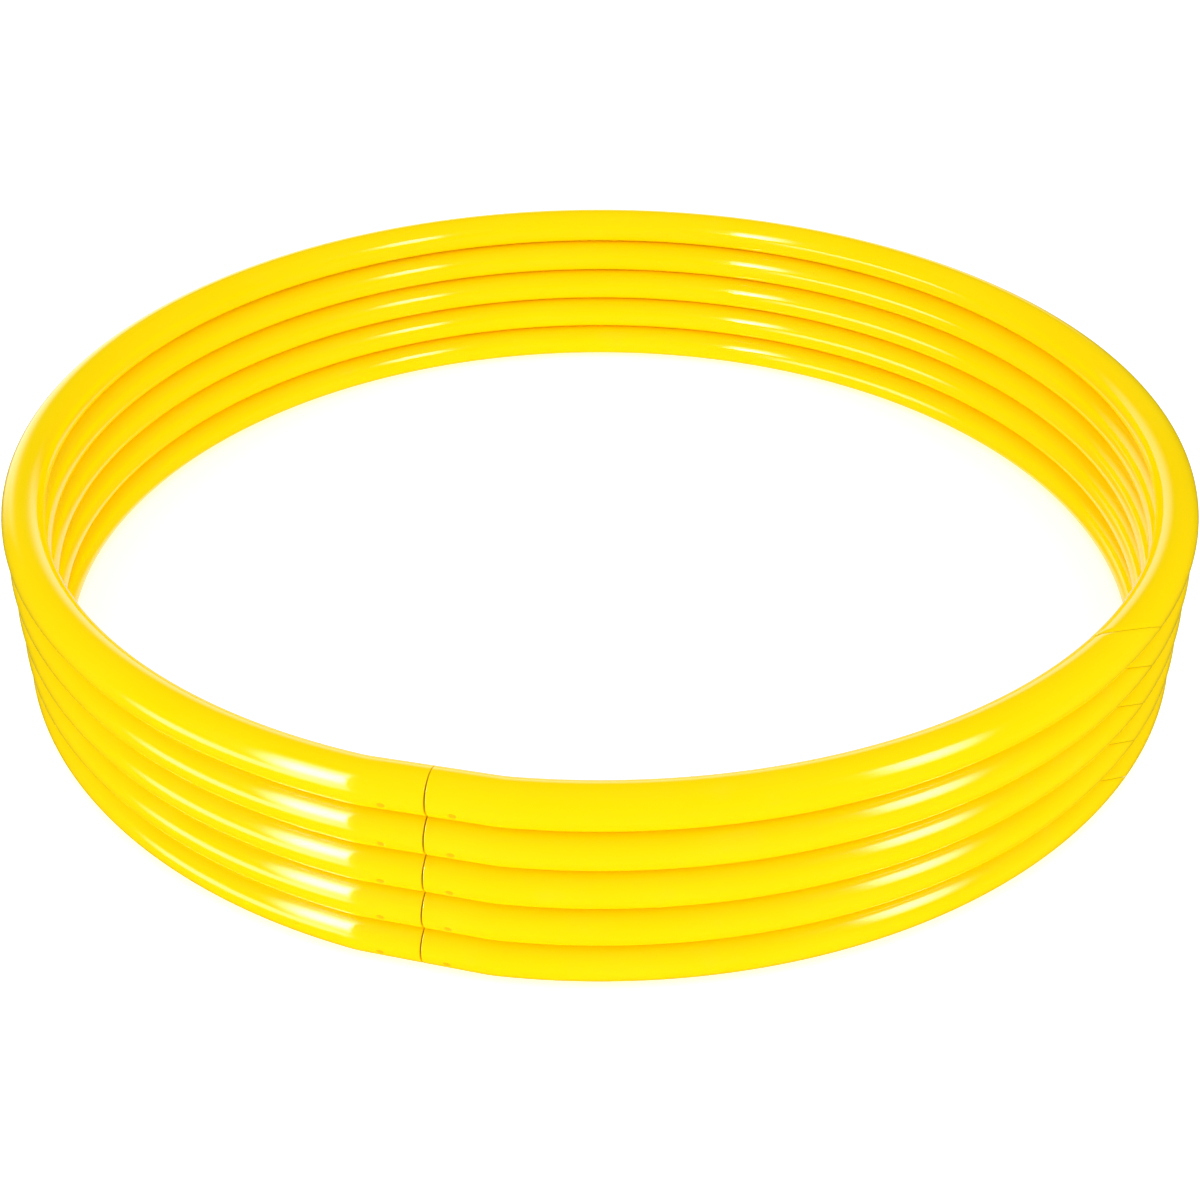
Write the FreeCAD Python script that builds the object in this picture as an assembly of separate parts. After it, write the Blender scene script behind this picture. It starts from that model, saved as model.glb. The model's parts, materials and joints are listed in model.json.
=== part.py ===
"""A stack of five round gymnastics hoops, each bent from extruded plastic tube.

Every hoop is a long and a short piece of hollow tube. At the front seam their ends are cut
square and pinned to a straight plug inside them, so the hoop runs straight for the length of
that plug. At the side seam they are cut on a slant and bonded over a second, longer plug that
is bent with the tube. The hoops lie on each other, each turned a little further round than
the one below.

Millimetres, +Z up, origin on the surface the stack stands on, at the hoops' centre.
Angles in the plan run counter-clockwise from +X, so the front, -Y, is at -90 degrees.
"""
import FreeCAD
import Part
import math
import os

Vector = FreeCAD.Vector

# Driving dimensions
HOOP_COUNT = 5
OUTER_DIAMETER = 600.0
TUBE_DIAMETER = 20.0
WALL = 2.0
STACK_GAP = 0.3              # room between two hoops that lie on each other
STACK_TURN = 0.3             # degrees that each hoop is turned further than the one below

FRONT_SEAM_ANGLE = -104.33   # lowest hoop's square cut, in the middle of the straight stretch
FRONT_SEAM_GAP = 0.5         # between the square ends, at the middle of the tube
FRONT_SEAM_FLARE = 0.015     # how much further each end stands off, per mm outwards
FRONT_SEAM_TURN = -30.0      # degrees round the tube to where the gap is widest
BEND_RADIUS = 60.0           # tight bend at both ends of the straight stretch
STRAIGHT_REACH = 6.3         # degrees from the front seam to where the round hoop begins

SIDE_SEAM_ANGLE = -38.33     # lowest hoop's slanted cut, at the middle of the tube
SIDE_SEAM_GAP = 0.2          # glue line of the slanted seam
SIDE_SEAM_LEAN_OUT = 1.36    # how far the slanted cut runs on, per mm outwards
SIDE_SEAM_LEAN_UP = -1.62    # and per mm upwards

PLUG_CLEARANCE = 0.05        # between a plug and the bore around it
PLUG_CHAMFER = 1.0           # lead-in on both ends of a plug
FRONT_PLUG_LENGTH = 50.0
SIDE_PLUG_LENGTH = 90.0

PIN_DIAMETER = 3.0
PIN_CLEARANCE = 0.05         # around the pin and under its foot
PIN_SINK = 0.3               # how far the pin's head lies under the tube's surface
PIN_LENGTH = 6.5
PIN_TURN = -20.0             # degrees round the tube, below the outermost line
PIN_OFFSETS = (-18.0, 11.0)  # along the tube from the front seam

# Worked out from the driving dimensions
TUBE_RADIUS = TUBE_DIAMETER / 2
BORE_RADIUS = TUBE_RADIUS - WALL
PLUG_RADIUS = BORE_RADIUS - PLUG_CLEARANCE
RING_RADIUS = OUTER_DIAMETER / 2 - TUBE_RADIUS
PITCH = TUBE_DIAMETER + STACK_GAP
STRAIGHT_HALF = (RING_RADIUS - BEND_RADIUS) * math.sin(math.radians(STRAIGHT_REACH))
STRAIGHT_INSET = (RING_RADIUS - BEND_RADIUS) * math.cos(math.radians(STRAIGHT_REACH)) + BEND_RADIUS
SLANT = math.hypot(SIDE_SEAM_LEAN_OUT, SIDE_SEAM_LEAN_UP)
SLANT_OVERRUN = math.degrees((TUBE_RADIUS * SLANT + 5.0) / RING_RADIUS)
END_OVERRUN = 3.0            # spare length that a seam's cut takes off a tube
CUTTER_SIDE = 120.0          # side of the block that cuts a tube's end
ORIGIN = Vector(0, 0, 0)
UP = Vector(0, 0, 1)


def outward(angle):
    """Unit vector from the hoop's centre towards a plan angle."""
    return Vector(math.cos(math.radians(angle)), math.sin(math.radians(angle)), 0)


def forward(angle):
    """Unit vector along the tube, counter-clockwise, at a plan angle."""
    return outward(angle + 90)


def around(angle, turn):
    """Unit vector out of the tube at a plan angle, turned upwards round the tube."""
    return outward(angle) * math.cos(math.radians(turn)) + UP * math.sin(math.radians(turn))


def on_ring(angle, height):
    """The point of the round hoop's centreline at a plan angle."""
    return outward(angle) * RING_RADIUS + UP * height


def on_straight(offset, height):
    """The point of the straight stretch's centreline at a distance along it from the seam."""
    return outward(FRONT_SEAM_ANGLE) * STRAIGHT_INSET + forward(FRONT_SEAM_ANGLE) * offset + UP * height


def on_bend(side, turn, height):
    """The point of a tight bend, side -1 or +1 of the seam, turned by an angle from it."""
    centre = on_straight(side * STRAIGHT_HALF, height) - outward(FRONT_SEAM_ANGLE) * BEND_RADIUS
    return centre + outward(FRONT_SEAM_ANGLE + side * turn) * BEND_RADIUS


def bar(radius, path):
    """A solid round bar along joined edges that run smoothly into each other."""
    start = path[0].valueAt(path[0].FirstParameter)
    heading = path[0].tangentAt(path[0].FirstParameter)
    profile = Part.Wire(Part.makeCircle(radius, start, heading))
    return Part.Wire(path).makePipeShell([profile], True, False)


def line(start, end):
    return Part.LineSegment(start, end).toShape()


def arc(start, middle, end):
    return Part.Arc(start, middle, end).toShape()


def ring_arc(height, start, end):
    """The round hoop's centreline from one plan angle to another."""
    return arc(on_ring(start, height), on_ring((start + end) / 2, height), on_ring(end, height))


def bend_arc(height, side, start, end):
    """A tight bend's centreline from one turn to another."""
    points = [on_bend(side, turn, height) for turn in (start, (start + end) / 2, end)]
    return arc(*points)


def tube_along(path):
    """Hollow tube along a path, open at both ends."""
    return bar(TUBE_RADIUS, path).cut(bar(BORE_RADIUS, path))


def end_cutter(middle, along, lean, gap, side):
    """A block that fills the far side, +1, or near side, -1, of a seam's leaning cut."""
    normal = along - lean
    normal.normalize()
    corner = Vector(-CUTTER_SIDE / 2, -CUTTER_SIDE / 2, 0)
    block = Part.makeBox(CUTTER_SIDE, CUTTER_SIDE, CUTTER_SIDE, corner)
    face_point = middle - along * side * (gap / 2)
    block.Placement = FreeCAD.Placement(face_point, FreeCAD.Rotation(UP, normal * side))
    return block


def front_cutter(height, side):
    """Trims a square end; the two ends lean apart towards the outside of the hoop."""
    flare = around(FRONT_SEAM_ANGLE, FRONT_SEAM_TURN) * FRONT_SEAM_FLARE
    middle = on_straight(0, height)
    return end_cutter(middle, forward(FRONT_SEAM_ANGLE), flare * -side, FRONT_SEAM_GAP, side)


def side_cutter(height, side):
    """Trims a slanted end; the two ends are parallel."""
    lean = outward(SIDE_SEAM_ANGLE) * SIDE_SEAM_LEAN_OUT + UP * SIDE_SEAM_LEAN_UP
    middle = on_ring(SIDE_SEAM_ANGLE, height)
    return end_cutter(middle, forward(SIDE_SEAM_ANGLE), lean, SIDE_SEAM_GAP, side)


def pin_cylinders(height, radius, top, bottom):
    """Cylinders square to the tube's wall, between two depths under its surface."""
    direction = around(FRONT_SEAM_ANGLE, PIN_TURN)
    cylinders = []
    for offset in PIN_OFFSETS:
        foot = on_straight(offset, height) + direction * (TUBE_RADIUS - bottom)
        cylinders.append(Part.makeCylinder(radius, bottom - top, foot, direction))
    return Part.makeCompound(cylinders)


def pin_holes(height):
    """The holes drilled through the tube's wall into the front plug."""
    above_surface = -2.0
    bottom = PIN_SINK + PIN_LENGTH + PIN_CLEARANCE
    return pin_cylinders(height, PIN_DIAMETER / 2 + PIN_CLEARANCE, above_surface, bottom)


def short_tube(height):
    """The front piece: from the square front seam to the slanted side seam."""
    path = [
        line(on_straight(-END_OVERRUN, height), on_straight(STRAIGHT_HALF, height)),
        bend_arc(height, 1, 0, STRAIGHT_REACH),
        ring_arc(height, FRONT_SEAM_ANGLE + STRAIGHT_REACH, SIDE_SEAM_ANGLE + SLANT_OVERRUN),
    ]
    tube = tube_along(path).cut(front_cutter(height, -1)).cut(side_cutter(height, 1))
    return tube.cut(pin_holes(height))


def long_tube(height):
    """The rest of the hoop: from the side seam round the back to the front seam."""
    path = [
        ring_arc(height, SIDE_SEAM_ANGLE - SLANT_OVERRUN, FRONT_SEAM_ANGLE + 360 - STRAIGHT_REACH),
        bend_arc(height, -1, STRAIGHT_REACH, 0),
        line(on_straight(-STRAIGHT_HALF, height), on_straight(END_OVERRUN, height)),
    ]
    tube = tube_along(path).cut(front_cutter(height, 1)).cut(side_cutter(height, -1))
    return tube.cut(pin_holes(height))


def chamfered(plug):
    """The plug with a chamfer round both of its end faces."""
    rims = [edge for edge in plug.Edges if isinstance(edge.Curve, Part.Circle) and edge.isClosed()
            and abs(edge.Curve.Axis.z) < 0.5]
    return plug.makeChamfer(PLUG_CHAMFER, rims)


def front_connector(height):
    """The straight plug inside the front seam, drilled for the pins."""
    start = on_straight(-FRONT_PLUG_LENGTH / 2, height)
    plug = Part.makeCylinder(PLUG_RADIUS, FRONT_PLUG_LENGTH, start, forward(FRONT_SEAM_ANGLE))
    return chamfered(plug).cut(pin_holes(height))


def side_connector(height):
    """The longer plug inside the slanted seam, bent with the tube."""
    reach = math.degrees(SIDE_PLUG_LENGTH / 2 / RING_RADIUS)
    return chamfered(bar(PLUG_RADIUS, [ring_arc(height, SIDE_SEAM_ANGLE - reach, SIDE_SEAM_ANGLE + reach)]))


def connector_pins(height):
    """The two pins that hold the tube ends on the front plug."""
    return pin_cylinders(height, PIN_DIAMETER / 2, PIN_SINK, PIN_SINK + PIN_LENGTH)


HOOP_PIECES = {
    "long_tube": long_tube,
    "short_tube": short_tube,
    "front_connector": front_connector,
    "side_connector": side_connector,
    "connector_pins": connector_pins,
}


def main():
    os.makedirs("parts", exist_ok=True)
    for number in range(1, HOOP_COUNT + 1):
        height = TUBE_RADIUS + (number - 1) * PITCH
        for piece, make in HOOP_PIECES.items():
            shape = make(height)
            shape.rotate(ORIGIN, UP, STACK_TURN * (number - 1))
            name = f"hoop_{number}_{piece}"
            print(name, shape.isValid(), len(shape.Solids), round(shape.Volume, 1))
            shape.exportStep(f"parts/{name}.step")


main()
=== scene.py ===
"""The looks of a stack of five yellow gymnastics hoops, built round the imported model.

Every hoop is two pieces of glossy extruded tube, closed at a square front seam and a slanted
side seam over plugs inside them. All surfaces are worked out as whole numpy grids. Metres.
"""
import json
import math

import bpy
import numpy as np
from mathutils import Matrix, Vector

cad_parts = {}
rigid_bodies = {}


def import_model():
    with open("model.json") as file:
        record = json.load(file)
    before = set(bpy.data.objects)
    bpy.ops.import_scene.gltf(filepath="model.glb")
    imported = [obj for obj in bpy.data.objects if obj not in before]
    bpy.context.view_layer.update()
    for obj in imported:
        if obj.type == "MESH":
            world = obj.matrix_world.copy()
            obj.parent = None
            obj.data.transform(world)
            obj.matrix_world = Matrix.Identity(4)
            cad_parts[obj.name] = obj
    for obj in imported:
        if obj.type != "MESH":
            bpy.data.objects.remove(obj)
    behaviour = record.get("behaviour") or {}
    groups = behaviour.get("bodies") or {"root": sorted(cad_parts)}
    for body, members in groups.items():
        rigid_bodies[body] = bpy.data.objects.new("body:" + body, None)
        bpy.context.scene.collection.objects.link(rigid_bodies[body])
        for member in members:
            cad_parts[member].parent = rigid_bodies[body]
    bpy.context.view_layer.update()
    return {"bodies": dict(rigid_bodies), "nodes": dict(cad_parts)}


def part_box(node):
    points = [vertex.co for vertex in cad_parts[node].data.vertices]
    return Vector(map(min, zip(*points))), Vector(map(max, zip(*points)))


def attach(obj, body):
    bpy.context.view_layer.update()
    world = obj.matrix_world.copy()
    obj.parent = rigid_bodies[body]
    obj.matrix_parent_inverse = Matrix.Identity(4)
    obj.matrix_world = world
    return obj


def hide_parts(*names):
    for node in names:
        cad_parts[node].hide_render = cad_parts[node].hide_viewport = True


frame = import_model()

MM = 0.001

# Sizes read from the frame
HOOP_COUNT = len(frame["bodies"])
first_low, first_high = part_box("hoop_1_long_tube")
second_low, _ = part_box("hoop_2_long_tube")
TUBE_RADIUS = (first_high.z - first_low.z) / 2
PITCH = second_low.z - first_low.z
RING_RADIUS = (first_high.x - first_low.x) / 2 - TUBE_RADIUS
STACK_HEIGHT = first_high.z - first_low.z + (HOOP_COUNT - 1) * PITCH

# The hoop's make, as in the construction
WALL = 2 * MM
BORE_RADIUS = TUBE_RADIUS - WALL
FRONT_SEAM = math.radians(-104.33)   # plan angle of the lowest hoop's square seam
STACK_TURN = math.radians(0.3)       # each hoop is turned this much further than the one below
FRONT_GAP = 0.5 * MM
FRONT_FLARE = 0.015                  # how much further each end stands off, per metre outwards
FRONT_FLARE_TURN = math.radians(-30)
BEND_RADIUS = 60 * MM                # tight bend at each end of the straight stretch
STRAIGHT_REACH = math.radians(6.3)   # from the front seam to where the round hoop begins
SIDE_SEAM = math.radians(-38.33)     # plan angle of the lowest hoop's slanted seam
SIDE_GAP = 0.2 * MM
SIDE_LEAN = (1.36, -1.62)            # how far the slanted cut runs on, outwards and upwards
PIN_TURN = math.radians(-20)         # round the tube, below its outermost line
PIN_RADIUS = 1.5 * MM
DISH_DEPTH = 0.35 * MM               # of the shallow dish round a pin's head
DISH_LIP = 0.5 * MM                  # and the width of its rounded lip
PIN_OFFSETS = (-18 * MM, 11 * MM)    # along the tube from the front seam

# Worked out: the straight stretch, and lengths along the tube from the front seam
STRAIGHT_HALF = (RING_RADIUS - BEND_RADIUS) * math.sin(STRAIGHT_REACH)
STRAIGHT_INSET = (RING_RADIUS - BEND_RADIUS) * math.cos(STRAIGHT_REACH) + BEND_RADIUS
BEND_LENGTH = BEND_RADIUS * STRAIGHT_REACH
ROUND_START = STRAIGHT_HALF + BEND_LENGTH
SIDE_AHEAD = ROUND_START + RING_RADIUS * (SIDE_SEAM - FRONT_SEAM - STRAIGHT_REACH)
LONG_WAY_ROUND = 2 * math.pi - (SIDE_SEAM - FRONT_SEAM)
SIDE_BEHIND = -ROUND_START - RING_RADIUS * (LONG_WAY_ROUND - STRAIGHT_REACH)

# Mesh fineness
ROUND_STEP = math.radians(5)         # round a tube
PIN_STEP = math.radians(1.25)        # round a tube, near the line of pins
PIN_REACH = math.radians(13)         # how far to each side of that line
COARSE_STEP = 5 * MM                 # along the round hoop
FINE_STEP = 0.4 * MM                 # along the straight stretch and its bends
FINE_MARGIN = 6 * MM                 # how far the fine steps run on past the bends
RIM = 0.25 * MM                      # rounding of a cut end's edges
RIM_POINTS = 4                       # points across that rounding
LEAN_REACH = 80 * MM                 # from a cut end to where its lean has died away
PATTERN_SHIFT = 3.0                  # along the tube, so that no two hoops are patterned alike

# Light
SKY_AT_HORIZON = 0.85
SKY_ABOVE = 0.70
SKY_CHANGE = (0.1, 0.6)              # sines of the elevations where it starts and ends changing
SHINE_AROUND = 0.02                  # what reflections show beside the panels
OVERHEAD_POWER = 12
FILL_POWER = 9
FLOOR_GLOW = 0.48
FLOOR_REACH = 30.0
FLOOR_ROUGHNESS = 0.8

# Each far panel's azimuth, elevation, width, height and soft edge in degrees, and brightness
FAR_PANELS = (
    (104, 4, 60, 34, 16, 1.5),       # white sweep behind
    (90, -30, 44, 40, 14, 0.7),      # white floor beyond
    (-152, -12, 40, 16, 12, 5),      # bright floor on the left
)

# Camera
CAMERA_BACK = 2.80                   # ring radii towards the front from the middle of the stack
CAMERA_UP = 1.6894                   # ring radii above it
CAMERA_TILT = 0.5953                 # radians down from level
CAMERA_LENS = 53.29
CAMERA_SENSOR = 36


def smooth(x):
    """0 below 0, 1 above 1, and a smooth S between: x squared times 3 less 2 x."""
    x = np.clip(x, 0, 1)
    return x * x * (3 - 2 * x)


def centreline(length):
    """Points and outward directions of the tube's centreline, at lengths from the front seam.

    The turn of the outward direction from the seam is nothing on the straight stretch, then
    grows as length over bend radius through the bend and as length over ring radius beyond.
    A point lies on the straight line, on the bend's circle or on the ring for each stretch.
    """
    side = np.where(length < 0, -1.0, 1.0)
    reach = np.abs(length)
    in_bend = np.clip(reach - STRAIGHT_HALF, 0, BEND_LENGTH) / BEND_RADIUS
    in_ring = np.clip(reach - ROUND_START, 0, None) / RING_RADIUS
    angle = FRONT_SEAM + side * (in_bend + in_ring)
    out = np.stack([np.cos(angle), np.sin(angle)], -1)
    seam_out = np.array([math.cos(FRONT_SEAM), math.sin(FRONT_SEAM)])
    seam_along = np.array([-seam_out[1], seam_out[0]])
    along = (side * np.minimum(reach, STRAIGHT_HALF))[..., None] * seam_along
    straight = seam_out * STRAIGHT_INSET + along
    bend = seam_out * (STRAIGHT_INSET - BEND_RADIUS) + along + out * BEND_RADIUS
    point = np.where((reach > STRAIGHT_HALF)[..., None], bend, straight)
    point = np.where((reach > ROUND_START)[..., None], out * RING_RADIUS, point)
    return point, out


def place(length, turn, radius, number):
    """Points on a hoop at a length along its tube, turned round it, at a radius from its
    centreline.

    The point is the centreline's, plus radius times the cosine of the turn outwards, plus
    radius times the sine of the turn upwards. The hoop is then lifted onto those below it and
    turned about the upright axis: x cos less y sin, and x sin plus y cos, of its own turn.
    """
    point, out = centreline(length)
    x, y = np.moveaxis(point + out * (radius * np.cos(turn))[..., None], -1, 0)
    hoop_turn = STACK_TURN * (number - 1)
    cosine, sine = math.cos(hoop_turn), math.sin(hoop_turn)
    z = TUBE_RADIUS + (number - 1) * PITCH + radius * np.sin(turn)
    return np.stack([x * cosine - y * sine, x * sine + y * cosine, z], -1)


def closed_grid(name, points, straightened):
    """A mesh from a grid of points, rows by columns, both closed on themselves. straightened is
    each point's place on the tube when it is laid out straight, kept as an attribute for the
    materials to follow."""
    rows, columns = points.shape[:2]
    index = np.arange(rows * columns).reshape(rows, columns)
    across = np.roll(index, -1, 1)
    quads = np.stack([index, across, np.roll(across, -1, 0), np.roll(index, -1, 0)], -1)
    mesh = bpy.data.meshes.new(name)
    mesh.from_pydata(points.reshape(-1, 3).tolist(), [], quads.reshape(-1, 4).tolist())
    laid_out = mesh.attributes.new("laid_out", "FLOAT_VECTOR", "POINT")
    laid_out.data.foreach_set("vector", straightened.reshape(-1).astype(np.float32))
    mesh.shade_smooth()
    mesh.validate()
    piece = bpy.data.objects.new(name, mesh)
    bpy.context.scene.collection.objects.link(piece)
    return piece


def finish_piece(piece, number, node, material):
    """Sets a piece's material, and lets it stand for its node on its hoop's body."""
    piece.data.materials.append(material)
    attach(piece, f"hoop_{number}")
    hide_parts(f"hoop_{number}_{node}")


# ---------------------------------------------------------------- tubes

def front_lean(turn, radius, side):
    """How far a square end stands off from its middle: the flare times the distance outwards."""
    return side * FRONT_FLARE * radius * np.cos(turn - FRONT_FLARE_TURN)


def side_lean(turn, radius, side):
    """How far the slanted cut runs on: each lean times the distance outwards and upwards. It is
    the same on either side of the seam."""
    return radius * (SIDE_LEAN[0] * np.cos(turn) + SIDE_LEAN[1] * np.sin(turn))


def stations(start, end):
    """Lengths along a tube: fine steps near the front seam and coarse ones elsewhere, clear of
    both rounded ends."""
    fine_reach = ROUND_START + FINE_MARGIN
    fine = np.arange(-fine_reach, fine_reach, FINE_STEP)
    coarse = np.arange(start, end, COARSE_STEP)
    coarse = coarse[np.abs(coarse) > fine_reach + COARSE_STEP / 2]
    both = np.sort(np.concatenate([fine, coarse]))
    margin = 2 * RIM
    return both[(both > start + margin) & (both < end - margin)]


def round_turns():
    """Turns round a tube: fine steps near the line of pins and coarse ones elsewhere."""
    fine = np.arange(-PIN_REACH, PIN_REACH, PIN_STEP)
    coarse = np.arange(PIN_REACH, 2 * math.pi - PIN_REACH - ROUND_STEP / 2, ROUND_STEP)
    return PIN_TURN + np.concatenate([fine, coarse])


def pin_dimple(length, turn):
    """How far the surface is let in round the pins' heads: a shallow dish with a rounded lip,
    deepest inside the pin's radius and back to nothing a little outside it."""
    depth = np.zeros_like(length)
    for offset in PIN_OFFSETS:
        sideways = TUBE_RADIUS * np.angle(np.exp(1j * (turn - PIN_TURN)))
        apart = np.hypot(length - offset, sideways)
        depth += DISH_DEPTH * (1 - smooth((apart - PIN_RADIUS) / DISH_LIP))
    return depth


def tube_piece(name, number, start, end, start_lean, end_lean):
    """A hollow tube with both ends cut: one closed surface that runs along the outside, round
    the end's rounded edges and flat face, back along the bore and round the other end. Near an
    end each length is shifted by the cut's lean there, which dies away smoothly further in."""
    body = stations(start, end)
    bow = np.linspace(0, math.pi / 2, RIM_POINTS)
    rim_in = RIM * (1 - np.cos(bow))
    rim_down = RIM * (1 - np.sin(bow))
    outer_end = (end - rim_in[::-1], TUBE_RADIUS - rim_down[::-1])
    inner_end = (end - rim_in, BORE_RADIUS + rim_down)
    outer_start = (start + rim_in, TUBE_RADIUS - rim_down)
    inner_start = (start + rim_in[::-1], BORE_RADIUS + rim_down[::-1])
    back = body[::-2]
    lengths = np.concatenate([
        outer_start[0], body, outer_end[0], inner_end[0], back, inner_start[0],
    ])
    radii = np.concatenate([
        outer_start[1], np.full(len(body), TUBE_RADIUS), outer_end[1],
        inner_end[1], np.full(len(back), BORE_RADIUS), inner_start[1],
    ])
    turns = round_turns()
    length, turn = np.meshgrid(lengths, turns, indexing="ij")
    radius = np.repeat(radii[:, None], len(turns), 1)
    from_start = 1 - smooth((length - start) / LEAN_REACH)
    to_end = 1 - smooth((end - length) / LEAN_REACH)
    lean = start_lean(turn, radius, 1) * from_start + end_lean(turn, radius, -1) * to_end
    straight_length = length + lean
    radius = radius - np.where(radius > BORE_RADIUS + RIM, pin_dimple(straight_length, turn), 0)
    points = place(straight_length, turn, radius, number)
    along = straight_length + PATTERN_SHIFT * number
    laid_out = np.stack([radius * np.cos(turn), radius * np.sin(turn), along], -1)
    return closed_grid(name, points, laid_out)


# ---------------------------------------------------------------- materials

def new_node(tree, kind, inputs, **settings):
    """Adds a node to a material or the world, with its settings, and sets or links its inputs."""
    node = tree.nodes.new(kind)
    for setting, value in settings.items():
        setattr(node, setting, value)
    for key, value in inputs.items():
        if isinstance(value, bpy.types.NodeSocket):
            tree.links.new(value, node.inputs[key])
        else:
            node.inputs[key].default_value = value
    return node


def calculate(tree, operation, *values):
    """One step of arithmetic on numbers or sockets."""
    return new_node(tree, "ShaderNodeMath", dict(enumerate(values)), operation=operation).outputs[0]


def fade(tree, value, nothing_at, whole_at, low=0.0, high=1.0):
    """A smooth S from low, where the value is nothing_at, to high, where it is whole_at."""
    inputs = {
        "Value": value, "From Min": nothing_at, "From Max": whole_at, "To Min": low, "To Max": high,
    }
    return new_node(tree, "ShaderNodeMapRange", inputs, interpolation_type="SMOOTHSTEP").outputs[0]


def grain(tree, place_on_piece, size, detail=2.0, stretch=(1, 1, 1)):
    """Cloudy noise with lumps of the given size in metres, drawn out along an axis by stretch."""
    scale = tuple(1 / (size * longer) for longer in stretch)
    placed = new_node(tree, "ShaderNodeMapping", {"Vector": place_on_piece, "Scale": scale})
    inputs = {"Vector": placed.outputs[0], "Scale": 1.0, "Detail": detail}
    return new_node(tree, "ShaderNodeTexNoise", inputs).outputs[0]


def raised(tree, height, depth, below=None):
    """A bump of the given depth in metres, on top of the bumps below it."""
    inputs = {"Height": height, "Distance": depth, "Strength": 1.0}
    if below is not None:
        inputs["Normal"] = below
    return new_node(tree, "ShaderNodeBump", inputs).outputs[0]


def new_plastic(name, shine):
    """A material with one shine all over, and its tree and shader to build on."""
    material = bpy.data.materials.new(name)
    material.use_nodes = True
    tree = material.node_tree
    shader = tree.nodes["Principled BSDF"]
    shader.inputs["Specular IOR Level"].default_value = shine
    return material, tree, shader


def blend_colours(tree, amount, first, second):
    """A colour between two others, by an amount from 0 to 1."""
    inputs = {0: amount, 6: (*first, 1), 7: (*second, 1)}
    return new_node(tree, "ShaderNodeMix", inputs, data_type="RGBA").outputs[2]


def yellow_tube_plastic():
    """Glossy extruded yellow plastic: a deep clean yellow, long die lines, a fine orange peel,
    roughness that drifts along the tube, and the rubbed patches and hair scratches of use."""
    material, tree, shader = new_plastic("yellow_tube_plastic", 0.5)
    laid_out = new_node(tree, "ShaderNodeAttribute", {}, attribute_name="laid_out").outputs["Vector"]
    drift = grain(tree, laid_out, 90 * MM)
    die_lines = grain(tree, laid_out, 1.1 * MM, stretch=(1, 1, 300))
    peel = grain(tree, laid_out, 1.6 * MM, detail=3.0)
    rubbed = fade(tree, grain(tree, laid_out, 22 * MM, detail=5.0), 0.60, 0.72)
    scratch = grain(tree, laid_out, 0.5 * MM, stretch=(1, 1, 40))
    scratched = calculate(tree, "MULTIPLY", fade(tree, scratch, 0.70, 0.76), rubbed)
    colour = blend_colours(tree, drift, (1.0, 0.70, 0.0002), (1.0, 0.725, 0.0003))
    tree.links.new(colour, shader.inputs["Base Color"])
    roughness = fade(tree, drift, 0.3, 0.7, 0.06, 0.09)
    roughness = calculate(tree, "MULTIPLY_ADD", die_lines, 0.03, roughness)
    roughness = calculate(tree, "MULTIPLY_ADD", rubbed, 0.05, roughness)
    roughness = calculate(tree, "MULTIPLY_ADD", scratched, 0.12, roughness)
    tree.links.new(roughness, shader.inputs["Roughness"])
    bump = raised(tree, die_lines, 0.006 * MM)
    bump = raised(tree, peel, 0.012 * MM, bump)
    tree.links.new(raised(tree, scratched, -0.01 * MM, bump), shader.inputs["Normal"])
    return material


def plug_plastic():
    """Dark moulded plug: matt, with a fine spark-eroded grain and paler rubbed spots."""
    material, tree, shader = new_plastic("plug_plastic", 0.4)
    position = new_node(tree, "ShaderNodeTexCoord", {}).outputs["Object"]
    speckle = grain(tree, position, 0.5 * MM, detail=3.0)
    rubbed = fade(tree, grain(tree, position, 6 * MM, detail=4.0), 0.5, 0.7)
    colour = blend_colours(tree, rubbed, (0.16, 0.11, 0.02), (0.22, 0.15, 0.03))
    tree.links.new(colour, shader.inputs["Base Color"])
    tree.links.new(fade(tree, speckle, 0.3, 0.7, 0.45, 0.62), shader.inputs["Roughness"])
    tree.links.new(raised(tree, speckle, 0.03 * MM), shader.inputs["Normal"])
    return material


def pin_plastic():
    """Yellow moulded pin: a shade deeper than the tube, with a soft moulded grain."""
    material, tree, shader = new_plastic("pin_plastic", 0.4)
    position = new_node(tree, "ShaderNodeTexCoord", {}).outputs["Object"]
    speckle = grain(tree, position, 0.4 * MM, detail=3.0)
    colour = blend_colours(tree, speckle, (0.80, 0.48, 0.001), (0.90, 0.56, 0.001))
    tree.links.new(colour, shader.inputs["Base Color"])
    tree.links.new(fade(tree, speckle, 0.3, 0.7, 0.14, 0.22), shader.inputs["Roughness"])
    tree.links.new(raised(tree, speckle, 0.01 * MM), shader.inputs["Normal"])
    return material


def floor_paint():
    """Plain pale floor: smooth white paint with the faintest cloudiness, and a glow of its own
    that lights the hoops from below."""
    material, tree, shader = new_plastic("pale_floor", 0.3)
    position = new_node(tree, "ShaderNodeTexCoord", {}).outputs["Object"]
    cloud = grain(tree, position, 0.8)
    colour = blend_colours(tree, cloud, (0.90, 0.90, 0.90), (0.93, 0.93, 0.93))
    tree.links.new(colour, shader.inputs["Base Color"])
    shader.inputs["Roughness"].default_value = FLOOR_ROUGHNESS
    shader.inputs["Emission Color"].default_value = (1, 1, 1, 1)
    shader.inputs["Emission Strength"].default_value = FLOOR_GLOW
    return material


yellow = yellow_tube_plastic()
plug = plug_plastic()
pin = pin_plastic()

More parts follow.
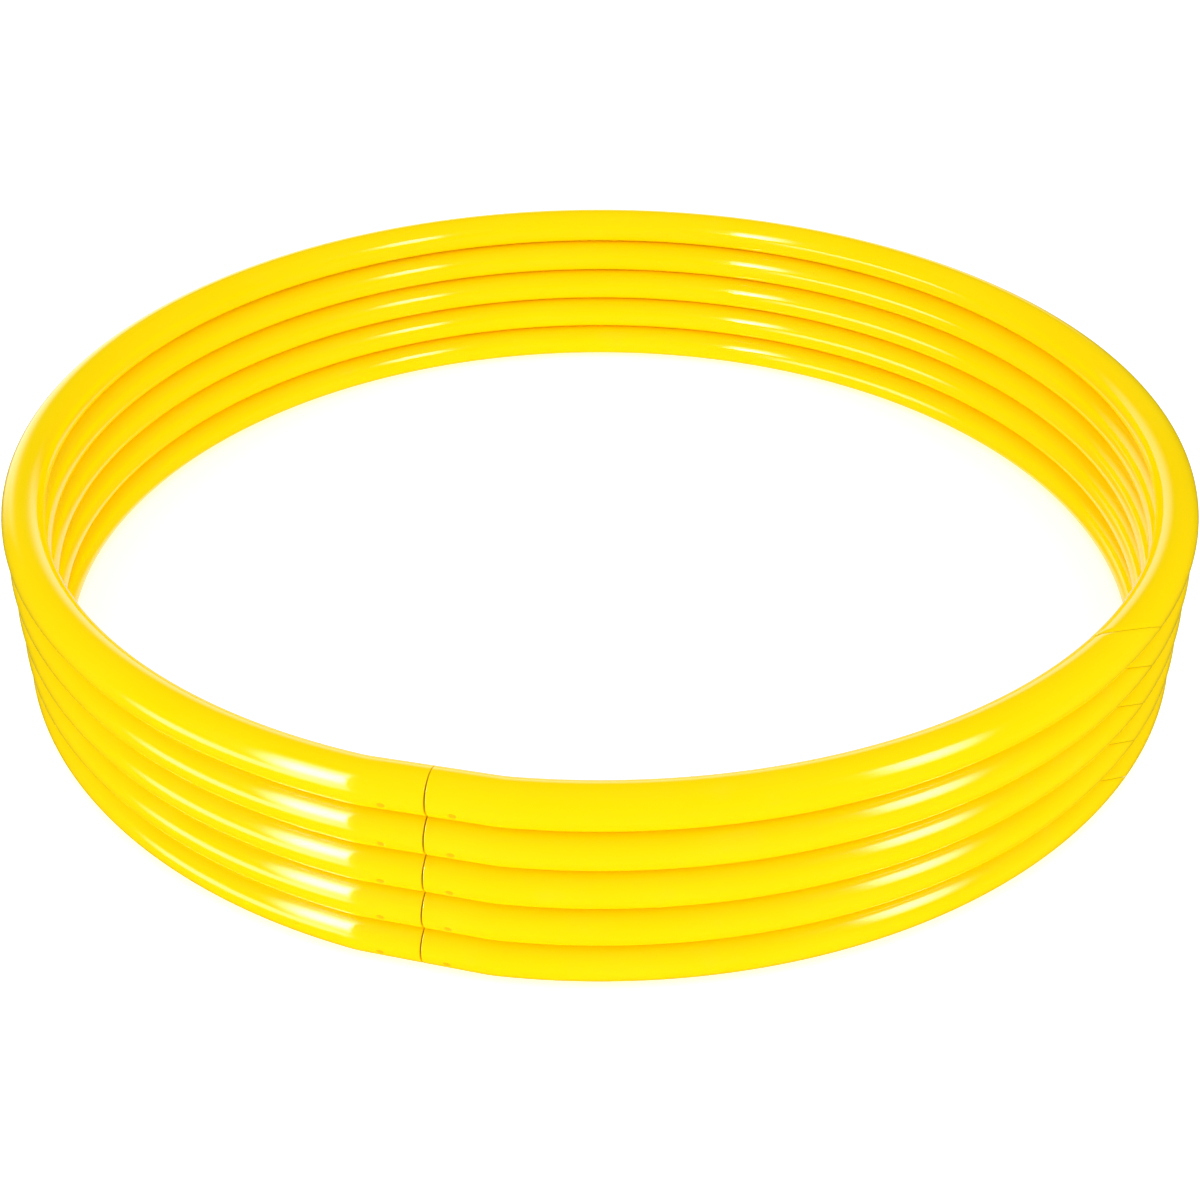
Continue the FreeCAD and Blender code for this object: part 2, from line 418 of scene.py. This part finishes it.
short_ends = (FRONT_GAP / 2, SIDE_AHEAD - SIDE_GAP / 2)
long_ends = (SIDE_BEHIND + SIDE_GAP / 2, -FRONT_GAP / 2)
for number in range(1, HOOP_COUNT + 1):
    short = tube_piece(f"tube_short_{number}", number, *short_ends, front_lean, side_lean)
    finish_piece(short, number, "short_tube", yellow)
    long = tube_piece(f"tube_long_{number}", number, *long_ends, side_lean, front_lean)
    finish_piece(long, number, "long_tube", yellow)

# The plugs and pins keep their own shapes
for name, node in frame["nodes"].items():
    node.data.materials.clear()
    node.data.materials.append(pin if name.endswith("connector_pins") else plug)


# ---------------------------------------------------------------- stage, light and camera

def floor():
    """A wide flat floor that the hoops stand on and don't mirror."""
    mesh = bpy.data.meshes.new("floor")
    quarters = ((-1, -1), (1, -1), (1, 1), (-1, 1))
    corners = [(x * FLOOR_REACH, y * FLOOR_REACH, 0) for x, y in quarters]
    mesh.from_pydata(corners, [], [(0, 1, 2, 3)])
    piece = bpy.data.objects.new("floor", mesh)
    bpy.context.scene.collection.objects.link(piece)
    mesh.materials.append(floor_paint())
    piece.visible_glossy = False


def direction_of(azimuth, elevation):
    """Unit vector at angles in degrees."""
    turn, lift = math.radians(azimuth), math.radians(elevation)
    return Vector((math.cos(lift) * math.cos(turn), math.cos(lift) * math.sin(turn), math.sin(lift)))


def round_light(name, azimuth, elevation, distance, size, power):
    """A large soft lamp at angles in degrees, aimed at the hoops, that shows in no reflection."""
    light = bpy.data.lights.new(name, "AREA")
    light.shape = "DISK"
    light.size = size
    light.energy = power
    lamp = bpy.data.objects.new(name, light)
    lamp.location = direction_of(azimuth, elevation) * distance
    lamp.rotation_euler = lamp.location.to_track_quat("Z", "Y").to_euler()
    lamp.visible_camera = False
    lamp.visible_glossy = False
    bpy.context.scene.collection.objects.link(lamp)


def softbox(name, plan_angle, azimuth, elevation, distance, width, height, brightness, soft):
    """A soft-edged glowing panel that only shows as a reflection. It stands off, by angles in
    degrees, from the top of the stack at a plan angle, and its width runs along the tube there,
    so that its ends are cut off square in the tube's reflection. Its brightness rises from
    nothing over the soft shares of its width, from the clockwise and the other end, and of its
    height, from the lower and the upper edge."""
    target = direction_of(plan_angle, 0) * RING_RADIUS + Vector((0, 0, STACK_HEIGHT))
    away = direction_of(azimuth, elevation)
    tube = direction_of(plan_angle + 90, 0)
    across = (tube - away * away.dot(tube)).normalized()
    shares = np.array([(0, 0, 0), (1, 0, 0), (1, 1, 0), (0, 1, 0)], float)
    offsets = (shares[:, :2] - 0.5) * (width, height)
    middle = np.array(target + away * distance)
    corners = middle + offsets @ np.array([across, away.cross(across)])
    mesh = bpy.data.meshes.new(name)
    mesh.from_pydata(corners.tolist(), [], [(3, 2, 1, 0)])
    mesh.attributes.new("share", "FLOAT_VECTOR", "POINT").data.foreach_set("vector", shares.ravel())
    material = bpy.data.materials.new(name)
    material.use_nodes = True
    tree = material.node_tree
    share = new_node(tree, "ShaderNodeAttribute", {}, attribute_name="share").outputs["Vector"]
    share = new_node(tree, "ShaderNodeSeparateXYZ", {0: share}).outputs
    glow = brightness
    for part, (near_edge, far_edge) in zip(share, (soft[:2], soft[2:])):
        glow = calculate(tree, "MULTIPLY", fade(tree, part, 0.0, near_edge), glow)
        glow = calculate(tree, "MULTIPLY", fade(tree, part, 1.0, 1 - far_edge), glow)
    glowing = new_node(tree, "ShaderNodeEmission", {"Strength": glow}).outputs[0]
    clear = new_node(tree, "ShaderNodeBsdfTransparent", {}).outputs[0]
    both = new_node(tree, "ShaderNodeAddShader", {0: glowing, 1: clear}).outputs[0]
    tree.links.new(both, tree.nodes["Material Output"].inputs["Surface"])
    mesh.materials.append(material)
    lamp = bpy.data.objects.new(name, mesh)
    bpy.context.scene.collection.objects.link(lamp)
    lamp.visible_camera = False
    lamp.visible_diffuse = False
    lamp.visible_shadow = False


def panel(tree, direction, azimuth, elevation, width, height, edge, strength):
    """How bright a far soft-edged panel is, seen along a direction. All angles are in degrees:
    the parts of the direction along the panel's right and up, each over the part straight at
    it, are the tangents of how far off its middle the direction points."""
    turn, lift = math.radians(azimuth), math.radians(elevation)
    right = (-math.sin(turn), math.cos(turn), 0)
    ahead = (math.cos(lift) * math.cos(turn), math.cos(lift) * math.sin(turn), math.sin(lift))
    up = (-math.sin(lift) * math.cos(turn), -math.sin(lift) * math.sin(turn), math.cos(lift))
    parts = []
    for axis in (right, up, ahead):
        inputs = {0: direction, 1: axis}
        part = new_node(tree, "ShaderNodeVectorMath", inputs, operation="DOT_PRODUCT")
        parts.append(part.outputs["Value"])
    inside = calculate(tree, "GREATER_THAN", parts[2], 0.0)
    for part, size in zip(parts, (width, height)):
        off = calculate(tree, "ABSOLUTE", calculate(tree, "DIVIDE", part, parts[2]))
        outer = math.tan(math.radians(size / 2 + edge / 2))
        inner = math.tan(math.radians(max(size / 2 - edge / 2, 0)))
        inside = calculate(tree, "MULTIPLY", inside, fade(tree, off, outer, inner))
    return calculate(tree, "MULTIPLY", inside, strength)


def studio():
    """White all round for soft light, brightest low down so that it reaches in between the
    hoops. Reflections show the far panels instead, and next to nothing beside them."""
    sky = bpy.data.worlds.new("studio")
    bpy.context.scene.world = sky
    sky.use_nodes = True
    sky.cycles.sampling_method = "NONE"
    tree = sky.node_tree
    direction = new_node(tree, "ShaderNodeTexCoord", {}).outputs["Generated"]
    shine = SHINE_AROUND
    for settings in FAR_PANELS:
        shine = calculate(tree, "ADD", panel(tree, direction, *settings), shine)
    height = new_node(tree, "ShaderNodeSeparateXYZ", {0: direction}).outputs["Z"]
    sky_glow = fade(tree, height, *SKY_CHANGE, SKY_AT_HORIZON, SKY_ABOVE)
    path = new_node(tree, "ShaderNodeLightPath", {}).outputs["Is Glossy Ray"]
    strength = new_node(tree, "ShaderNodeMix", {0: path, 2: sky_glow, 3: shine}, data_type="FLOAT")
    background = tree.nodes["Background"]
    background.inputs["Color"].default_value = (1, 1, 1, 1)
    tree.links.new(strength.outputs[0], background.inputs["Strength"])


def camera():
    """The camera, in front of the stack and above it."""
    middle = Vector((0, 0, STACK_HEIGHT / 2))
    data = bpy.data.cameras.new("camera")
    data.lens = CAMERA_LENS
    data.sensor_width = CAMERA_SENSOR
    eye = bpy.data.objects.new("camera", data)
    eye.location = middle + Vector((0, -CAMERA_BACK * RING_RADIUS, CAMERA_UP * RING_RADIUS))
    eye.rotation_euler = (math.pi / 2 - CAMERA_TILT, 0, 0)
    bpy.context.scene.collection.objects.link(eye)
    bpy.context.scene.camera = eye


floor()
studio()
round_light("overhead", azimuth=0, elevation=90, distance=2.5, size=2.4, power=OVERHEAD_POWER)
round_light("fill_left", azimuth=-145, elevation=31, distance=2.2, size=1.4, power=FILL_POWER)
round_light("fill_right", azimuth=-35, elevation=31, distance=2.2, size=1.4, power=FILL_POWER)
softbox(
    "key", plan_angle=-112, azimuth=-143, elevation=20, distance=0.60,
    width=0.24, height=0.90, brightness=12, soft=(0.45, 0.04, 0.45, 0.45),
)
softbox(
    "key_middle", plan_angle=-112, azimuth=-141, elevation=20, distance=0.58,
    width=0.18, height=0.55, brightness=11, soft=(0.5, 0.06, 0.5, 0.5),
)
softbox(
    "second", plan_angle=-63, azimuth=-31, elevation=25, distance=0.75,
    width=0.38, height=0.60, brightness=13, soft=(0.4, 0.5, 0.5, 0.3),
)
camera()
bpy.context.scene.view_settings.view_transform = "Standard"
bpy.context.scene.cycles.diffuse_bounces = 8
